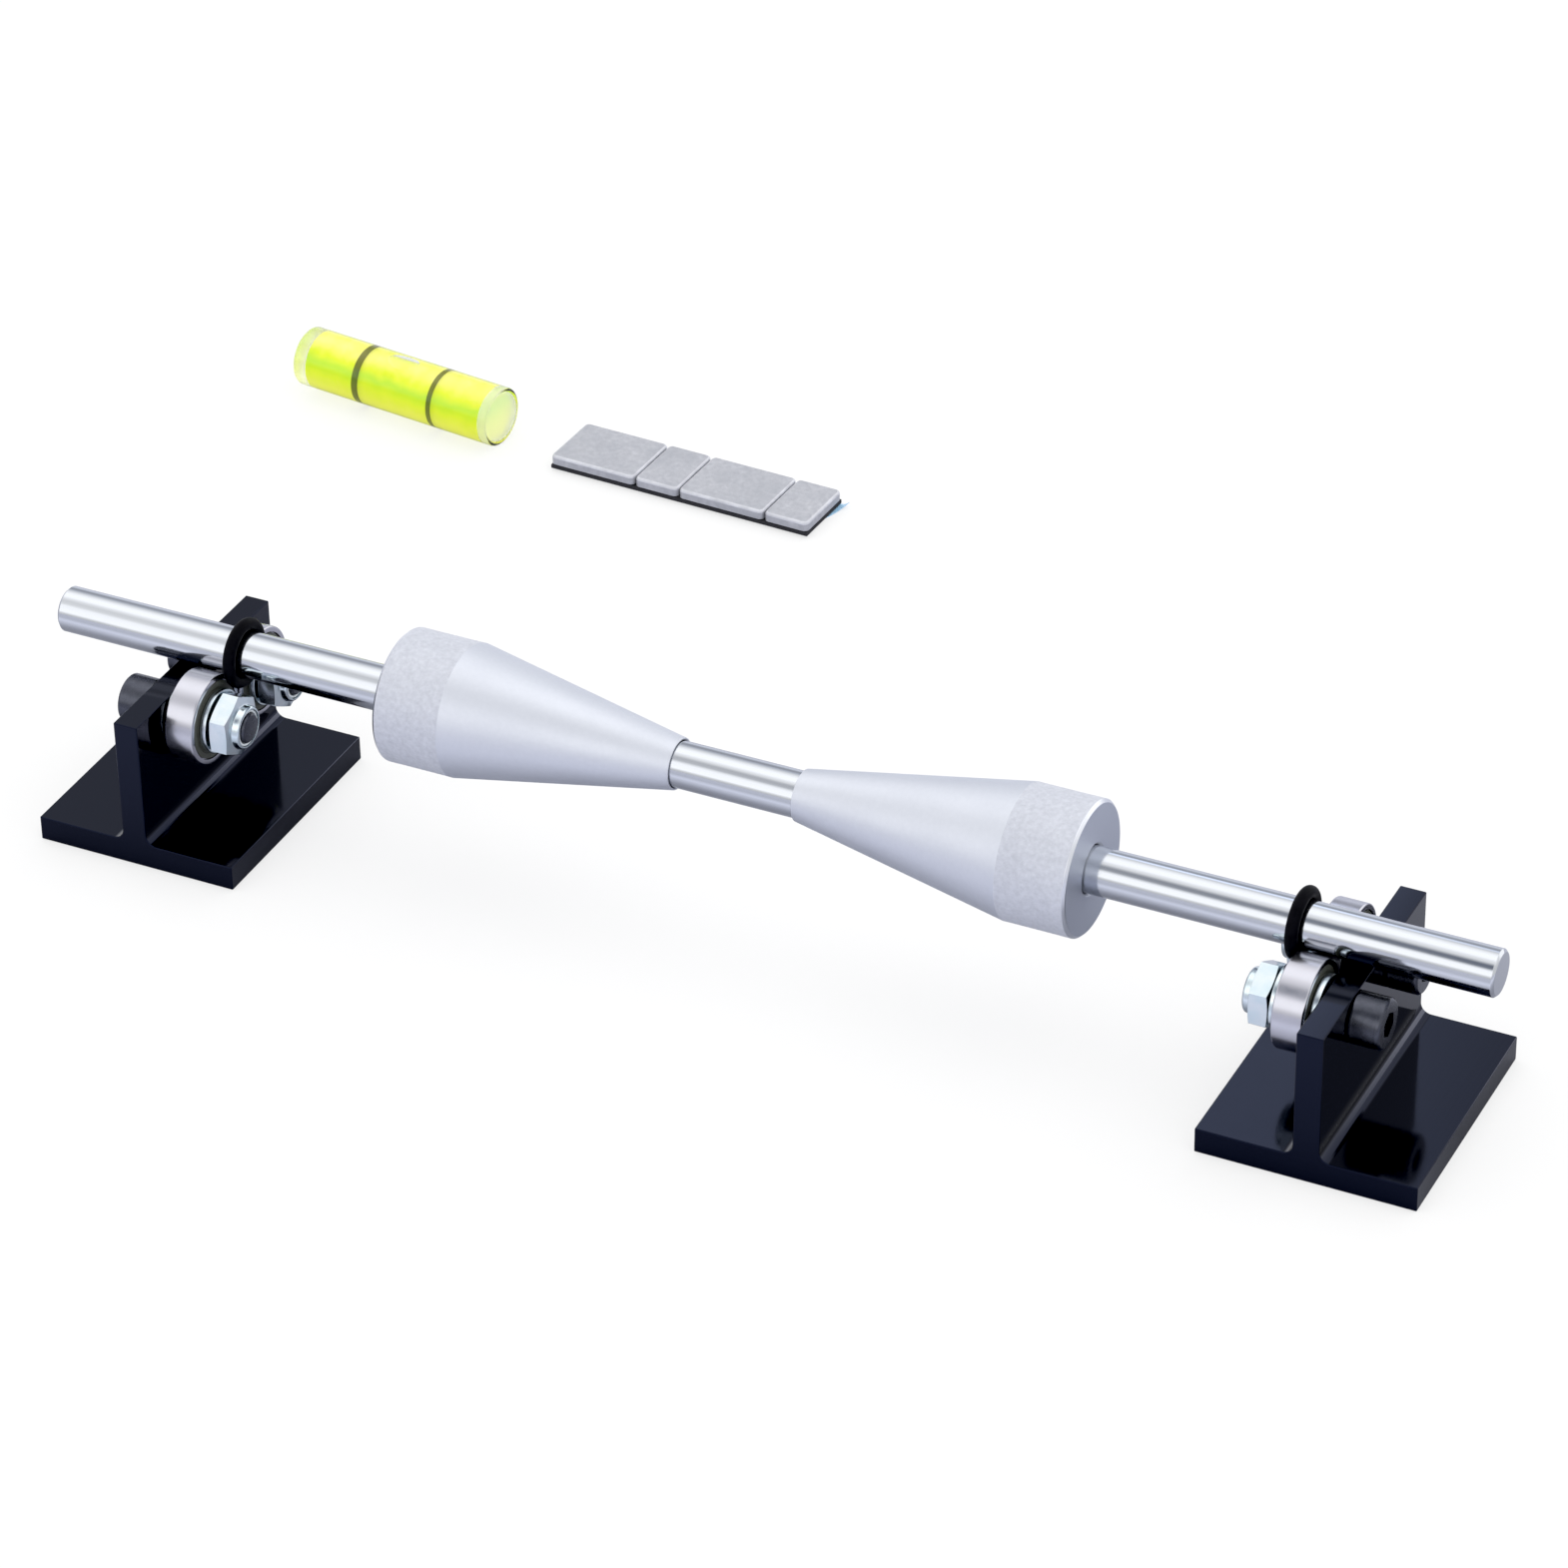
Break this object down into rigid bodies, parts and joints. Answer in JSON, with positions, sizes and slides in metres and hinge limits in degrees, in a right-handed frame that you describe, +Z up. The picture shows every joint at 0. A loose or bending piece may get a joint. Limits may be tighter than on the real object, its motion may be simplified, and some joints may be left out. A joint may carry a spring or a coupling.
{
  "type": "motorcycle wheel balancer",
  "caption": "Balancing stand set: a steel shaft with two sliding cones rolls on bearing pairs bolted to two low black T stands, with a level vial and stick-on weights.",
  "frame": {"origin": "middle of the left stand's foot, on the bench", "axes": "+X along the shaft from the left stand to the right one, +Y across it towards the vial and weights, +Z up"},
  "size_m": [0.4369, 0.2429, 0.0662],
  "materials": {
    "black_anodised": "extruded, black anodised, semi-gloss",
    "ground_steel": "ground and polished rod",
    "bearing_steel": "ground bearing steel",
    "satin_aluminium": "turned, satin, with a fine knurl on the band",
    "black_oxide": "black oxide on steel",
    "zinc_plated": "bright blue-white zinc",
    "black_rubber": "matt nitrile rubber",
    "white_nylon": "milky nylon",
    "clear_acrylic": "clear moulded acrylic",
    "level_liquid": "yellow-green level fluid",
    "painted_zinc": "grey coated zinc",
    "black_foam": "foam tape",
    "blue_backing": "backing paper"
  },
  "bodies": {
    "left_support": {"left_stand": "black_anodised", "left_near_cap_screw": "black_oxide", "left_near_spacer_washer": "zinc_plated", "left_near_inner_race": "bearing_steel", "left_near_nut_washer": "zinc_plated", "left_near_lock_nut": "zinc_plated", "left_near_nylon_insert": "white_nylon", "left_far_cap_screw": "black_oxide", "left_far_spacer_washer": "zinc_plated", "left_far_inner_race": "bearing_steel", "left_far_nut_washer": "zinc_plated", "left_far_lock_nut": "zinc_plated", "left_far_nylon_insert": "white_nylon", "level_vial_tube": "clear_acrylic", "level_vial_plug": "clear_acrylic", "level_vial_liquid": "level_liquid", "wheel_weight_1": "painted_zinc", "wheel_weight_2": "painted_zinc", "wheel_weight_3": "painted_zinc", "wheel_weight_4": "painted_zinc", "weight_tape": "black_foam", "weight_backing": "blue_backing"},
    "right_support": {"right_stand": "black_anodised", "right_near_cap_screw": "black_oxide", "right_near_spacer_washer": "zinc_plated", "right_near_inner_race": "bearing_steel", "right_near_nut_washer": "zinc_plated", "right_near_lock_nut": "zinc_plated", "right_near_nylon_insert": "white_nylon", "right_far_cap_screw": "black_oxide", "right_far_spacer_washer": "zinc_plated", "right_far_inner_race": "bearing_steel", "right_far_nut_washer": "zinc_plated", "right_far_lock_nut": "zinc_plated", "right_far_nylon_insert": "white_nylon"},
    "shaft": {"balancing_shaft": "ground_steel"},
    "left_cone_slider": {"left_cone": "satin_aluminium"},
    "left_locking_screw": {"left_set_screw": "black_oxide"},
    "left_stop_ring": {"left_shaft_ring": "black_rubber"},
    "right_cone_slider": {"right_cone": "satin_aluminium"},
    "right_locking_screw": {"right_set_screw": "black_oxide"},
    "right_stop_ring": {"right_shaft_ring": "black_rubber"},
    "left_near_roller": {"left_near_outer_race": "bearing_steel", "left_near_web_side_seal": "black_rubber", "left_near_nut_side_seal": "black_rubber"},
    "left_near_cage": {"left_near_ball_set": "bearing_steel"},
    "left_far_roller": {"left_far_outer_race": "bearing_steel", "left_far_web_side_seal": "black_rubber", "left_far_nut_side_seal": "black_rubber"},
    "left_far_cage": {"left_far_ball_set": "bearing_steel"},
    "right_near_roller": {"right_near_outer_race": "bearing_steel", "right_near_web_side_seal": "black_rubber", "right_near_nut_side_seal": "black_rubber"},
    "right_near_cage": {"right_near_ball_set": "bearing_steel"},
    "right_far_roller": {"right_far_outer_race": "bearing_steel", "right_far_web_side_seal": "black_rubber", "right_far_nut_side_seal": "black_rubber"},
    "right_far_cage": {"right_far_ball_set": "bearing_steel"}
  },
  "joints": [
    {"name": "stand_spread", "type": "slide", "parent": "left_support", "child": "right_support", "axis": [1, 0, 0], "range_m": [-0.015, 0.03]},
    {"name": "shaft_spin", "type": "hinge", "parent": "left_support", "child": "shaft", "pos_m": [0.16015, 0, 0.04876], "axis": [1, 0, 0], "continuous": true},
    {"name": "left_cone_slide", "type": "slide", "parent": "shaft", "child": "left_cone_slider", "axis": [1, 0, 0], "range_m": [-0.025, 0.015]},
    {"name": "right_cone_slide", "type": "slide", "parent": "shaft", "child": "right_cone_slider", "axis": [1, 0, 0], "range_m": [-0.015, 0.025]},
    {"name": "left_set_screw_travel", "type": "slide", "parent": "left_cone_slider", "child": "left_locking_screw", "axis": [0, 0, -1], "range_m": [0, 0.0015]},
    {"name": "right_set_screw_travel", "type": "slide", "parent": "right_cone_slider", "child": "right_locking_screw", "axis": [0, 0, -1], "range_m": [0, 0.0015]},
    {"name": "left_ring_slide", "type": "slide", "parent": "shaft", "child": "left_stop_ring", "axis": [1, 0, 0], "range_m": [-0.0004, 0.015]},
    {"name": "right_ring_slide", "type": "slide", "parent": "shaft", "child": "right_stop_ring", "axis": [1, 0, 0], "range_m": [-0.015, 0.03]},
    {"name": "left_near_roller_spin", "type": "hinge", "parent": "left_support", "child": "left_near_roller", "pos_m": [0.0097, -0.0124, 0.0353], "axis": [1, 0, 0], "continuous": true},
    {"name": "left_near_cage_spin", "type": "hinge", "parent": "left_support", "child": "left_near_cage", "pos_m": [0.0097, -0.0124, 0.0353], "axis": [1, 0, 0], "continuous": true},
    {"name": "left_far_roller_spin", "type": "hinge", "parent": "left_support", "child": "left_far_roller", "pos_m": [0.0097, 0.0124, 0.0353], "axis": [1, 0, 0], "continuous": true},
    {"name": "left_far_cage_spin", "type": "hinge", "parent": "left_support", "child": "left_far_cage", "pos_m": [0.0097, 0.0124, 0.0353], "axis": [1, 0, 0], "continuous": true},
    {"name": "right_near_roller_spin", "type": "hinge", "parent": "right_support", "child": "right_near_roller", "pos_m": [0.3106, -0.0124, 0.0353], "axis": [1, 0, 0], "continuous": true},
    {"name": "right_near_cage_spin", "type": "hinge", "parent": "right_support", "child": "right_near_cage", "pos_m": [0.3106, -0.0124, 0.0353], "axis": [1, 0, 0], "continuous": true},
    {"name": "right_far_roller_spin", "type": "hinge", "parent": "right_support", "child": "right_far_roller", "pos_m": [0.3106, 0.0124, 0.0353], "axis": [1, 0, 0], "continuous": true},
    {"name": "right_far_cage_spin", "type": "hinge", "parent": "right_support", "child": "right_far_cage", "pos_m": [0.3106, 0.0124, 0.0353], "axis": [1, 0, 0], "continuous": true}
  ],
  "couplings": [
    {"joint": "right_ring_slide", "follows": "stand_spread", "ratio": 1},
    {"joint": "left_near_roller_spin", "follows": "shaft_spin", "ratio": -0.5},
    {"joint": "left_near_cage_spin", "follows": "shaft_spin", "ratio": -0.31832},
    {"joint": "left_far_roller_spin", "follows": "shaft_spin", "ratio": -0.5},
    {"joint": "left_far_cage_spin", "follows": "shaft_spin", "ratio": -0.31832},
    {"joint": "right_near_roller_spin", "follows": "shaft_spin", "ratio": -0.5},
    {"joint": "right_near_cage_spin", "follows": "shaft_spin", "ratio": -0.31832},
    {"joint": "right_far_roller_spin", "follows": "shaft_spin", "ratio": -0.5},
    {"joint": "right_far_cage_spin", "follows": "shaft_spin", "ratio": -0.31832}
  ]
}
